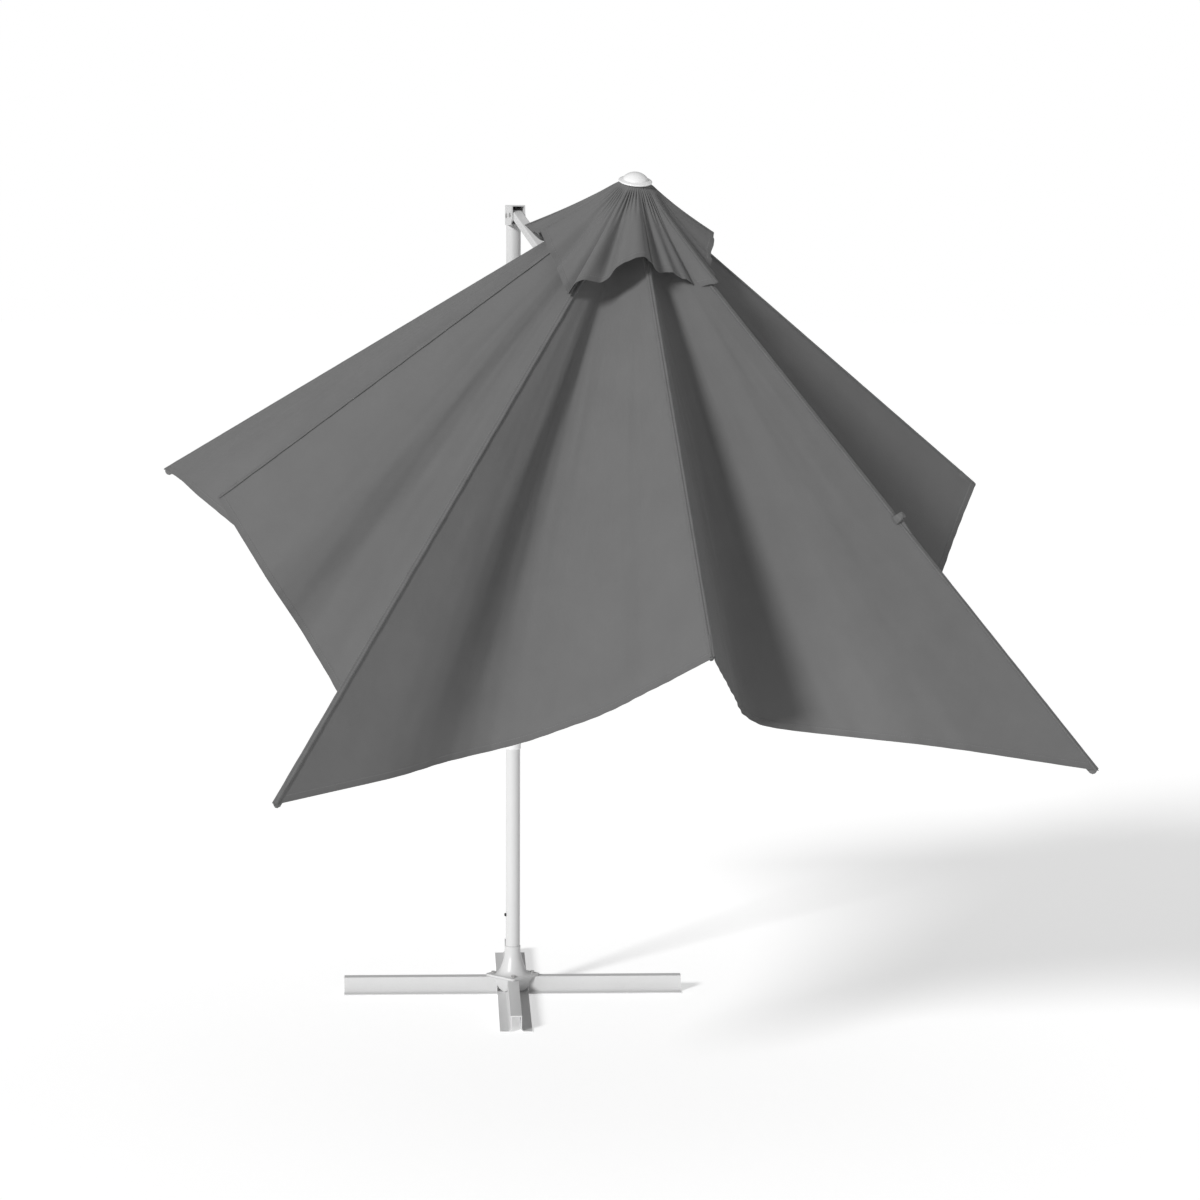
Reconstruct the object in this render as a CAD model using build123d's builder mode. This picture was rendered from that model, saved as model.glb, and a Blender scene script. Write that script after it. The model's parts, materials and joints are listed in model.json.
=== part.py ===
"""Cantilever parasol: steel cross base, turning mast, folding arm and an eight-rib square canopy.

Frame: millimetres, +Z up. The origin is on the ground on the mast's axis. The arm points along -Y and
every hinge of the arm turns about X. The canopy has a frame of its own, leaning towards -Y.
"""

from build123d import *
import os
from math import acos, atan2, cos, degrees, radians, sin, tan

os.makedirs("parts", exist_ok=True)

# ---- base cross ---------------------------------------------------------------------------------
bar_length = 1000.0
bar_span = 92.0
bar_height = 47.0
bar_sheet = 3.0
channel_width = 32.0
channel_corner = 5.0
flange_bend = 8.0
cross_turn = -12.0
halving_height = 23.7
fit_gap = 0.3

# ---- mast ---------------------------------------------------------------------------------------
mast_radius = 21.0
mast_wall = 2.0
mast_foot = 138.0
mast_joint = 745.0
mast_top = 2266.0
fork_top = 2324.0
hub_half_diagonal = 83.0
spigot_radius = 18.4
spigot_top = 330.0
clamp_height = 232.0

# ---- folding arm --------------------------------------------------------------------------------
pivot_offset = 45.0
fork_pivot_height = 2295.0
arm_slope = 17.5
arm_radius = 19.0
arm_wall = 1.6
strut_width = 30.0
strut_depth = 24.0
strut_wall = 1.6
pin_radius = 4.0
pin_fit = 0.05
tongue_half = 8.0
cheek_inner = 9.0
cheek_outer = 13.0
eye_radius = 14.0

# ---- canopy -------------------------------------------------------------------------------------
crown_reach = 1337.0
crown_height = 2365.0
canopy_lean = 17.9
rib_droop = 38.8
mid_rib_length = 1310.0
corner_rib_length = 1852.0
rib_count = 8
rib_width = 9.0
rib_depth = 16.0
rib_wall = 1.0
rib_drop = 12.0
rib_start = 62.0
stretcher_reach = 420.0
stretcher_offset = 16.0
stretcher_side = 8.0
pole_radius = 12.7
cloth = 0.8
open_gore_angle = 43.0
head_pivot = (100.0, -40.0)
tilt_pivot = (0.0, 5.0)
canopy_inner = 68.0
canopy_margin = 14.0
vent_inner = 58.0
vent_mid = 265.0
vent_corner = 350.0
vent_lift = 8.0

# ---- crank on the back of the mast --------------------------------------------------------------
crank_height = 1050.0
crank_throw = 105.0

# ---- places that follow from the dimensions above -----------------------------------------------
cross = Plane.XY.rotated((0, 0, cross_turn))
lean = radians(canopy_lean)
droop = radians(rib_droop)
slope = radians(arm_slope)
crown = Vector(0, -crown_reach, crown_height)
canopy = Plane(origin=crown, x_dir=(1, 0, 0), z_dir=(0, -sin(lean), cos(lean)))
side = Plane.YZ

fork_pivot = Vector(0, -pivot_offset, fork_pivot_height)
head_centre = canopy.from_local_coords(Vector(0, *head_pivot))
arm_run = -pivot_offset - head_centre.Y
slider_height = head_centre.Z - arm_run * tan(slope)
slider_pivot = Vector(0, -pivot_offset, slider_height)
arm_length = arm_run / cos(slope)
strut_length = (fork_pivot_height - slider_height) / (2 * sin(slope))
strut_pivot = slider_pivot + Vector(0, -cos(slope), sin(slope)) * strut_length

arm_line = Plane(origin=slider_pivot, x_dir=(1, 0, 0), z_dir=(0, -cos(slope), sin(slope)))
strut_line = Plane(origin=fork_pivot, x_dir=(1, 0, 0), z_dir=(0, -cos(slope), -sin(slope)))

# In the canopy's frame, a rib pivots at this distance from the pole's axis and this height.
rib_ring = rib_start * cos(droop) - rib_drop * sin(droop)
rib_pivot_height = -rib_start * sin(droop) - rib_drop * cos(droop)
stretcher_angle = droop + atan2(stretcher_offset, stretcher_reach)
stretcher_length = (stretcher_reach**2 + stretcher_offset**2) ** 0.5
runner_height = rib_pivot_height - 2 * stretcher_length * sin(stretcher_angle)
pole_bottom = rib_pivot_height - 2 * stretcher_length - 40

rib_names = ["front", "front_right", "right", "back_right", "back", "back_left", "left", "front_left"]


def azimuth(index):
    """Compass direction of rib number index in the canopy's frame, counted from the front."""
    return radians(-90 + index * 360 / rib_count)


def outward(angle, radial, height):
    """Point of the canopy's frame at a distance from the pole and a height, as a world point."""
    return canopy.from_local_coords(Vector(radial * cos(angle), radial * sin(angle), height))


def canopy_direction(x, y, z):
    """World direction of a direction in the canopy's frame."""
    return canopy.from_local_coords(Vector(x, y, z)) - crown


def finish(part, name):
    """Names one finished sub-part and writes it."""
    part.label = name
    export_step(part, f"parts/{name}.step")


# ---- base ---------------------------------------------------------------------------------------


def hat_bar(name, plane, crossing_top):
    """Folded sheet bar: a raised channel between two flat flanges, open underneath."""
    half_channel = channel_width / 2
    half_span = bar_span / 2
    with BuildPart() as bar:
        with BuildSketch(plane) as section:
            with BuildLine():
                Polyline(
                    (-half_span, 0),
                    (-half_span, bar_sheet),
                    (-half_channel, bar_sheet),
                    (-half_channel, bar_height),
                    (half_channel, bar_height),
                    (half_channel, bar_sheet),
                    (half_span, bar_sheet),
                    (half_span, 0),
                    (half_channel - bar_sheet, 0),
                    (half_channel - bar_sheet, bar_height - bar_sheet),
                    (bar_sheet - half_channel, bar_height - bar_sheet),
                    (bar_sheet - half_channel, 0),
                    close=True,
                )
            make_face()
            rows = section.vertices().group_by(Axis.Y)
            fillet(rows[-2], radius=channel_corner - bar_sheet)
            fillet(rows[-1], radius=channel_corner)
        extrude(amount=bar_length / 2, both=True)
        along = Axis(origin=(0, 0, 0), direction=plane.z_dir)
        edges = bar.edges().filter_by(along)
        roots = edges.filter_by(
            lambda e: abs(e.center().Z - bar_sheet) < 0.01
            and abs(plane.to_local_coords(e.center()).X) < half_channel + 0.1
        )
        fillet(roots, radius=flange_bend)
        hems = bar.edges().filter_by(along).filter_by(
            lambda e: abs(e.center().Z) < 0.01
            and abs(plane.to_local_coords(e.center()).X) < half_channel
        )
        fillet(hems, radius=flange_bend + bar_sheet)
        room = half_channel + fit_gap
        if crossing_top:
            with BuildSketch(cross):
                Rectangle(bar_span + 2 * fit_gap, bar_span + 2 * fit_gap)
            extrude(amount=halving_height + fit_gap, mode=Mode.SUBTRACT)
        else:
            with BuildSketch(cross.offset(halving_height)):
                Rectangle(bar_span, 2 * room)
            extrude(amount=bar_height, mode=Mode.SUBTRACT)
    finish(bar.part, name)


front_section = Plane(origin=(0, 0, 0), x_dir=cross.x_dir, z_dir=-cross.y_dir)
side_section = Plane(origin=(0, 0, 0), x_dir=cross.y_dir, z_dir=cross.x_dir)
hat_bar("base_bar_front", front_section, crossing_top=False)
hat_bar("base_bar_side", side_section, crossing_top=True)

hub_seat = bar_height + fit_gap
plate_thickness = 6.0
flare_top = mast_foot - 0.5

with BuildPart() as base_hub:
    # A diamond plate lies over the crossing with its corners along the bars.
    with BuildSketch(cross.offset(hub_seat)):
        with Locations(Rotation(0, 0, 45)):
            RectangleRounded(hub_half_diagonal * 2**0.5, hub_half_diagonal * 2**0.5, radius=9)
    extrude(amount=plate_thickness)
    # A trumpet rises from the plate to the mast's foot.
    with BuildSketch(Plane.XZ):
        with BuildLine():
            Line((0, hub_seat + 1), (56, hub_seat + 1))
            Line((56, hub_seat + 1), (56, hub_seat + plate_thickness))
            flare = Spline(
                (56, hub_seat + plate_thickness),
                (35, 76),
                (25.5, 104),
                (mast_radius + 1.6, flare_top),
                tangents=[(-1, 0.12), (0, 1)],
            )
            Line(flare @ 1, (0, flare_top))
            Line((0, flare_top), (0, hub_seat + 1))
        make_face()
    revolve(axis=Axis.Z)
    # The skirt narrows downwards between the bars and stands on their flanges.
    with BuildSketch(cross.offset(hub_seat)):
        with Locations(Rotation(0, 0, 45)):
            RectangleRounded(108, 108, radius=10)
    with BuildSketch(cross.offset(bar_sheet + fit_gap)):
        with Locations(Rotation(0, 0, 45)):
            RectangleRounded(74, 74, radius=12)
    loft()
    # Room for the two bars.
    for section in (front_section, side_section):
        half_channel = channel_width / 2 + fit_gap
        with BuildSketch(section):
            with BuildLine():
                Polyline(
                    (-half_channel - flange_bend, 0),
                    (-half_channel - flange_bend, bar_sheet + fit_gap),
                    (-half_channel, bar_sheet + flange_bend + fit_gap),
                    (-half_channel, hub_seat),
                    (half_channel, hub_seat),
                    (half_channel, bar_sheet + flange_bend + fit_gap),
                    (half_channel + flange_bend, bar_sheet + fit_gap),
                    (half_channel + flange_bend, 0),
                    close=True,
                )
            make_face()
        extrude(amount=2 * hub_half_diagonal, both=True, mode=Mode.SUBTRACT)
    with BuildSketch(Plane.XY.offset(hub_seat)):
        Circle(spigot_radius + 0.1)
    extrude(amount=mast_foot, mode=Mode.SUBTRACT)
    bolt_spots = [(58, 0), (-58, 0), (0, 58), (0, -58)]
    with BuildSketch(cross.offset(hub_seat)):
        with Locations(*bolt_spots):
            Circle(3.2)
    extrude(amount=3 * plate_thickness, mode=Mode.SUBTRACT)
finish(base_hub.part, "base_hub")

with BuildPart() as base_bolts:
    with BuildSketch(cross.offset(hub_seat + 0.2)):
        with Locations(*bolt_spots):
            Circle(3.0)
    extrude(amount=9)
    with BuildSketch(cross.offset(hub_seat + 9.2)):
        with Locations(*bolt_spots):
            RegularPolygon(radius=6.2, side_count=6)
    extrude(amount=4)
finish(base_bolts.part, "base_bolts")

with BuildPart() as mast_spigot:
    with BuildSketch(Plane.XY.offset(hub_seat + 0.2)):
        Circle(spigot_radius)
        Circle(spigot_radius - 2.6, mode=Mode.SUBTRACT)
    extrude(amount=spigot_top - hub_seat)
    chamfer(mast_spigot.faces().sort_by(Axis.Z)[-1].outer_wire().edges(), length=1.2)
finish(mast_spigot.part, "mast_spigot")

# ---- mast ---------------------------------------------------------------------------------------


def mast_tube(name, bottom, top, screw_height=None):
    """One length of the round mast tube, with the clamp screw's hole if it has one."""
    with BuildPart() as tube:
        with BuildSketch(Plane.XY.offset(bottom)):
            Circle(mast_radius)
            Circle(mast_radius - mast_wall, mode=Mode.SUBTRACT)
        extrude(amount=top - bottom)
        if screw_height:
            with BuildSketch(Plane.YZ.offset(-mast_radius - 1)):
                with Locations((0, screw_height)):
                    Circle(3.3)
            extrude(amount=mast_radius, mode=Mode.SUBTRACT)
    finish(tube.part, name)


mast_tube("mast_lower", mast_foot, mast_joint - 1.5, clamp_height)
mast_tube("mast_upper", mast_joint + 1.5, mast_top)

with BuildPart() as mast_coupler:
    bore = mast_radius - mast_wall
    with BuildSketch(Plane.XZ):
        with BuildLine():
            Polyline(
                (bore - 2.6, mast_joint - 60),
                (bore - 0.1, mast_joint - 60),
                (bore - 0.1, mast_joint - 1.4),
                (mast_radius + 0.1, mast_joint - 1.4),
                (mast_radius + 0.1, mast_joint - 16),
                (mast_radius + 2.4, mast_joint - 14),
                (mast_radius + 2.8, mast_joint + 10),
                (mast_radius + 0.1, mast_joint + 12),
                (mast_radius + 0.1, mast_joint + 1.4),
                (bore - 0.1, mast_joint + 1.4),
                (bore - 0.1, mast_joint + 60),
                (bore - 2.6, mast_joint + 60),
                close=True,
            )
        make_face()
    revolve(axis=Axis.Z)
finish(mast_coupler.part, "mast_coupler")

with BuildPart() as clamp_screw:
    with BuildSketch(Plane.YZ.offset(-mast_radius + mast_wall)):
        with Locations((0, clamp_height)):
            Circle(3.0)
    extrude(amount=-mast_wall - 1)
    with BuildSketch(Plane.YZ.offset(-mast_radius - 0.3)):
        with Locations((0, clamp_height)):
            Circle(5.0)
    extrude(amount=-4.6)
    crown_edge = clamp_screw.faces().sort_by(Axis.X)[0].edges()
    fillet(crown_edge, radius=2.6)
finish(clamp_screw.part, "clamp_screw")

fork_inner = 16.5
fork_outer = 20.5
fork_front = -pivot_offset - 16.0
pulley_centre = (0.0, mast_top + 27.0)

with BuildPart() as mast_fork:
    # Two side plates, closed on top and behind, on a floor plate with a plug in the mast's bore.
    with BuildSketch(Plane.XY.offset(mast_top)):
        with Locations((0, (fork_front + mast_radius) / 2)):
            Rectangle(2 * fork_outer, mast_radius - fork_front)
    extrude(amount=fork_top - mast_top)
    with BuildSketch(Plane.XY.offset(mast_top + 4)):
        with Locations((0, (fork_front + mast_radius) / 2 - 5)):
            Rectangle(2 * fork_inner, mast_radius - fork_front + 2)
    extrude(amount=fork_top - mast_top - 8, mode=Mode.SUBTRACT)
    # The front is open underneath, where the strut swings down.
    with BuildSketch(Plane.XY.offset(mast_top - 1)):
        with Locations((0, fork_front)):
            Rectangle(2 * fork_inner, 2 * (-mast_radius - fork_front))
    extrude(amount=6, mode=Mode.SUBTRACT)
    with BuildSketch(Plane.XY.offset(mast_top)):
        Circle(mast_radius - mast_wall - 0.1)
    extrude(amount=-34)
    with BuildSketch(Plane.XY.offset(mast_top + 5)):
        Circle(12)
    extrude(amount=-40, mode=Mode.SUBTRACT)
    # Lower front corners are cut back, and the long top edges are rounded.
    with BuildSketch(Plane.YZ.offset(-fork_outer - 1)):
        with BuildLine():
            Polyline(
                (fork_front - 1, mast_top - 1),
                (fork_front + 14, mast_top - 1),
                (fork_front - 1, mast_top + 14),
                close=True,
            )
        make_face()
    extrude(amount=2 * fork_outer + 2, mode=Mode.SUBTRACT)
    with BuildSketch(Plane.YZ.offset(-fork_outer - 1)):
        with Locations((-pivot_offset, fork_pivot_height), pulley_centre):
            Circle(pin_radius + pin_fit)
    extrude(amount=2 * fork_outer + 2, mode=Mode.SUBTRACT)
    top_edges = mast_fork.edges().filter_by(Axis.Y).group_by(Axis.Z)[-1]
    fillet(top_edges, radius=3)
finish(mast_fork.part, "mast_fork")


def headed_pins(name, spots, plane, half_length, head=2.5):
    """Straight pins across a hinge, with a flat head on each end, one at each spot of a plane."""
    with BuildPart() as pins:
        with BuildSketch(plane.offset(-half_length)):
            with Locations(*spots):
                Circle(pin_radius)
        extrude(amount=2 * half_length)
        for face_offset, direction in ((-half_length, -1), (half_length, 1)):
            with BuildSketch(plane.offset(face_offset)):
                with Locations(*spots):
                    Circle(pin_radius + 2.6)
            extrude(amount=direction * head)
    finish(pins.part, name)


headed_pins(
    "fork_pins",
    [(-pivot_offset, fork_pivot_height), pulley_centre],
    side,
    fork_outer + 0.2,
)

with BuildPart() as pulley:
    with BuildSketch(Plane.YZ.offset(-6)):
        with Locations(pulley_centre):
            Circle(12)
            Circle(pin_radius + pin_fit, mode=Mode.SUBTRACT)
    extrude(amount=12)
    with BuildSketch(Plane.YZ.offset(-3)):
        with Locations(pulley_centre):
            Circle(13)
            Circle(8.5, mode=Mode.SUBTRACT)
    extrude(amount=6, mode=Mode.SUBTRACT)
finish(pulley.part, "pulley")

# ---- slider -------------------------------------------------------------------------------------
slider_bore = mast_radius + 0.4
slider_radius = slider_bore + 3.0
slider_half = 60.0

with BuildPart() as slider:
    with BuildSketch(Plane.XY.offset(slider_height - slider_half)):
        Circle(slider_radius)
    extrude(amount=2 * slider_half)
    # Two ears carry the arm's pin in front of the mast.
    with BuildSketch(Plane.YZ.offset(-cheek_outer)):
        with BuildLine():
            Polyline(
                (0, slider_height - 26),
                (-pivot_offset, slider_height - eye_radius),
                (-pivot_offset, slider_height + eye_radius),
                (0, slider_height + 26),
                close=True,
            )
        make_face()
        with Locations((-pivot_offset, slider_height)):
            Circle(eye_radius)
    extrude(amount=2 * cheek_outer)
    with BuildSketch(Plane.XY.offset(slider_height - slider_half)):
        with Locations((0, -pivot_offset - slider_radius + 3.5)):
            Rectangle(2 * cheek_inner, 2 * pivot_offset)
    extrude(amount=2 * slider_half, mode=Mode.SUBTRACT)
    with BuildSketch(Plane.XY.offset(slider_height - slider_half)):
        Circle(slider_radius)
    extrude(amount=2 * slider_half)
    # Rolled lips at both ends.
    for height in (slider_height - slider_half, slider_height + slider_half - 8):
        with BuildSketch(Plane.XY.offset(height)):
            Circle(slider_radius + 1.8)
        extrude(amount=8)
    with BuildSketch(Plane.XY.offset(slider_height - slider_half)):
        Circle(slider_bore)
    extrude(amount=2 * slider_half, mode=Mode.SUBTRACT)
    with BuildSketch(Plane.YZ.offset(-cheek_outer - 1)):
        with Locations((-pivot_offset, slider_height)):
            Circle(pin_radius + pin_fit)
    extrude(amount=2 * cheek_outer + 2, mode=Mode.SUBTRACT)
finish(slider.part, "slider")

headed_pins("slider_pin", [(-pivot_offset, slider_height)], side, cheek_outer + 0.2)

# ---- arm and strut ------------------------------------------------------------------------------
tube_setback = 26.0

with BuildPart() as arm:
    with BuildSketch(arm_line.offset(tube_setback)):
        Circle(arm_radius)
    extrude(amount=arm_length - 2 * tube_setback)
    with BuildSketch(arm_line.offset(tube_setback + 16)):
        Circle(arm_radius - arm_wall)
    extrude(amount=arm_length - 2 * tube_setback - 32, mode=Mode.SUBTRACT)
    # A flat tongue with an eye at each end.
    for centre, reach in ((0.0, tube_setback + 8), (arm_length, -tube_setback - 8)):
        across = Plane(
            origin=arm_line.from_local_coords(Vector(-tongue_half, 0, centre)),
            x_dir=arm_line.z_dir,
            z_dir=(1, 0, 0),
        )
        with BuildSketch(across):
            Circle(eye_radius)
            with Locations((reach / 2, 0)):
                Rectangle(abs(reach), 2 * eye_radius)
        extrude(amount=2 * tongue_half)
    for distance in (0.0, strut_length, arm_length):
        across = Plane(
            origin=arm_line.from_local_coords(Vector(-arm_radius - 1, 0, distance)),
            x_dir=arm_line.z_dir,
            z_dir=(1, 0, 0),
        )
        with BuildSketch(across):
            Circle(pin_radius + pin_fit)
        extrude(amount=2 * arm_radius + 2, mode=Mode.SUBTRACT)
finish(arm.part, "arm")

clevis_block = strut_length - 80.0
clevis_start = clevis_block - 16.0
ear_inner = arm_radius + 0.7
ear_outer = ear_inner + 3.0

with BuildPart() as strut:
    with BuildSketch(strut_line.offset(-strut_depth / 2)):
        RectangleRounded(strut_width, strut_depth, radius=4)
        RectangleRounded(
            strut_width - 2 * strut_wall, strut_depth - 2 * strut_wall, radius=2.4, mode=Mode.SUBTRACT
        )
    extrude(amount=clevis_start + strut_depth / 2)
    across = Plane(
        origin=strut_line.from_local_coords(Vector(-strut_width, 0, 0)),
        x_dir=strut_line.z_dir,
        z_dir=(1, 0, 0),
    )
    with BuildSketch(across):
        Circle(pin_radius + pin_fit)
    extrude(amount=2 * strut_width, mode=Mode.SUBTRACT)
finish(strut.part, "strut")

with BuildPart() as strut_clevis:
    # A plug in the strut's end, a block, and two long ears that straddle the arm.
    with BuildSketch(strut_line.offset(clevis_start - 26)):
        RectangleRounded(
            strut_width - 2 * strut_wall - 0.4, strut_depth - 2 * strut_wall - 0.4, radius=2.2
        )
    extrude(amount=30)
    with BuildSketch(strut_line.offset(clevis_start + 0.1)):
        RectangleRounded(2 * ear_outer, strut_depth + 2, radius=4)
    extrude(amount=clevis_block - clevis_start)
    for inner in (-ear_outer, ear_inner):
        across = Plane(
            origin=strut_line.from_local_coords(Vector(inner, 0, strut_length)),
            x_dir=strut_line.z_dir,
            z_dir=(1, 0, 0),
        )
        with BuildSketch(across):
            Circle(eye_radius - 1)
            with Locations(((clevis_block - strut_length - 6) / 2, 0)):
                Rectangle(strut_length - clevis_block + 6, 2 * eye_radius - 2)
            Circle(pin_radius + pin_fit, mode=Mode.SUBTRACT)
        extrude(amount=ear_outer - ear_inner)
finish(strut_clevis.part, "strut_clevis")

headed_pins("strut_pin", [(strut_pivot.Y, strut_pivot.Z)], side, ear_outer + 0.2)

# ---- crown of the canopy ------------------------------------------------------------------------
pivot_wire = 1.5
wire_fit = 0.3
hub_radius = rib_ring + 6.2
slot_width = 5.8
boss_radius = 15.0
pole_wall = 1.5
pole_plug = 42.0
pole_foot_wall = 8.0
neck_half = 8.7
neck_bottom = -18.0
neck_top = 14.6
cap_seat = 16.0

# The canopy's middle plane: its x runs to the back of the canopy and its y up the pole.
bracket_side = Plane(origin=crown, x_dir=canopy.y_dir, z_dir=(1, 0, 0))


def slotted_ring(height, thickness, bore):
    """Disc round the pole with a slot and a pivot wire for each rib or stretcher."""
    with BuildPart() as ring:
        with BuildSketch(canopy.offset(height - thickness / 2)):
            Circle(hub_radius)
            if bore:
                Circle(bore, mode=Mode.SUBTRACT)
        extrude(amount=thickness)
        with BuildSketch(canopy.offset(height - thickness)):
            with PolarLocations(rib_ring + 8, rib_count):
                Rectangle(34, slot_width)
        extrude(amount=2 * thickness, mode=Mode.SUBTRACT)
        for index in range(rib_count):
            angle = azimuth(index)
            tangent = canopy_direction(-sin(angle), cos(angle), 0)
            wire_plane = Plane(
                origin=outward(angle, rib_ring, height) - tangent * (slot_width / 2 + 1),
                x_dir=canopy.z_dir,
                z_dir=tangent,
            )
            with BuildSketch(wire_plane):
                Circle(pivot_wire)
            extrude(amount=slot_width + 2)
    return ring.part


rib_ring_disc = slotted_ring(rib_pivot_height, 20, 0)

with BuildPart() as crown_hub:
    # Rib ring, a boss up to the cap and a plug down into the centre pole.
    add(rib_ring_disc)
    with BuildSketch(canopy.offset(rib_pivot_height)):
        Circle(boss_radius)
    extrude(amount=cap_seat - rib_pivot_height)
    with BuildSketch(canopy.offset(rib_pivot_height)):
        Circle(pole_radius - pole_wall - wire_fit)
    extrude(amount=-pole_plug)
    # Flats on the boss leave a neck between the cheeks of the bracket, bored for the tilt pin.
    for start in (neck_half, -neck_half - boss_radius):
        with BuildSketch(canopy.offset(neck_bottom)):
            with Locations((start + boss_radius / 2, 0)):
                Rectangle(boss_radius, 2 * boss_radius + 2)
        extrude(amount=neck_top - neck_bottom, mode=Mode.SUBTRACT)
    with BuildSketch(bracket_side.offset(-boss_radius)):
        with Locations(tilt_pivot):
            Circle(pin_radius + pin_fit)
    extrude(amount=2 * boss_radius, mode=Mode.SUBTRACT)
finish(crown_hub.part, "crown_hub")

with BuildPart() as centre_pole:
    pole_start = rib_pivot_height - 10.3
    with BuildSketch(canopy.offset(pole_start)):
        Circle(pole_radius)
    extrude(amount=pole_bottom - pole_start)
    with BuildSketch(canopy.offset(pole_start)):
        Circle(pole_radius - pole_wall)
    extrude(amount=pole_bottom - pole_start + pole_foot_wall, mode=Mode.SUBTRACT)
    fillet(centre_pole.edges().group_by(Axis.Z)[0], radius=3)
finish(centre_pole.part, "centre_pole")

brim_radius = 42.5
brim_thickness = 4.5
shoulder_radius = 32.0
shoulder_height = cap_seat + 7.5
dome_radius = 30.5
dome_height = cap_seat + 11.0
dome_rise = 14.0

with BuildPart() as cap:
    # Round brim with a step up to a low dome.
    with BuildSketch(bracket_side):
        with BuildLine():
            brim_edge = ThreePointArc(
                (brim_radius - 1.5, cap_seat),
                (brim_radius, cap_seat + brim_thickness / 2),
                (brim_radius - 1.5, cap_seat + brim_thickness),
            )
            shoulder = Line(brim_edge @ 1, (shoulder_radius, shoulder_height))
            step = Line(shoulder @ 1, (dome_radius, dome_height))
            ball = (dome_radius**2 + dome_rise**2) / (2 * dome_rise)
            ball_centre = dome_height + dome_rise - ball
            half_way = dome_radius / 2
            dome_middle = (half_way, ball_centre + (ball**2 - half_way**2) ** 0.5)
            dome = ThreePointArc(step @ 1, dome_middle, (0, dome_height + dome_rise))
            Line(dome @ 1, (0, cap_seat))
            Line((0, cap_seat), brim_edge @ 0)
        make_face()
    revolve(axis=Axis(origin=crown, direction=canopy.z_dir))
finish(cap.part, "cap")

tilt_eye = 9.0
bridge_reach = 45.0
bridge_length = 26.0
bridge_depth = 14.0
bracket_run = (head_pivot[0] - tilt_pivot[0], head_pivot[1] - tilt_pivot[1])
bracket_length = (bracket_run[0] ** 2 + bracket_run[1] ** 2) ** 0.5
bracket_turn = degrees(atan2(bracket_run[1], bracket_run[0]))


def along_bracket(reach):
    """Point of the canopy's middle plane at a distance from the tilt pin towards the arm's pin."""
    share = reach / bracket_length
    return (tilt_pivot[0] + bracket_run[0] * share, tilt_pivot[1] + bracket_run[1] * share)


with BuildPart() as head_bracket:
    # Two cheeks hold the neck of the crown between them and run back to the arm's pin.
    for start in (-cheek_outer, cheek_inner):
        with BuildSketch(bracket_side.offset(start)):
            with Locations(along_bracket(bracket_length / 2)):
                Rectangle(bracket_length, 2 * tilt_eye, rotation=bracket_turn)
            with Locations(tilt_pivot):
                Circle(tilt_eye)
            with Locations(head_pivot):
                Circle(eye_radius)
        extrude(amount=cheek_outer - cheek_inner)
    # A block joins the cheeks, clear of the neck and of the arm's end.
    with BuildSketch(bracket_side.offset(-cheek_inner - 1)):
        with Locations(along_bracket(bridge_reach)):
            Rectangle(bridge_length, bridge_depth, rotation=bracket_turn)
    extrude(amount=2 * cheek_inner + 2)
    with BuildSketch(bracket_side.offset(-cheek_outer)):
        with Locations(tilt_pivot, head_pivot):
            Circle(pin_radius + pin_fit)
    extrude(amount=2 * cheek_outer, mode=Mode.SUBTRACT)
finish(head_bracket.part, "head_bracket")

headed_pins("head_pins", [tilt_pivot, head_pivot], bracket_side, cheek_outer + 0.2)

stretcher_ring_disc = slotted_ring(runner_height, 18, pole_radius + 0.4)

with BuildPart() as runner:
    add(stretcher_ring_disc)
    with BuildSketch(canopy.offset(runner_height - 34)):
        Circle(pole_radius + 4)
        Circle(pole_radius + 0.4, mode=Mode.SUBTRACT)
    extrude(amount=68)
finish(runner.part, "runner")

# ---- ribs and stretchers ------------------------------------------------------------------------
tongue_thickness = 5.0
rib_eye = 7.5
tube_start = 16.0
clip_gap = 2.7
clip_cheek = 1.7
stretcher_eye = 5.5


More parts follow.
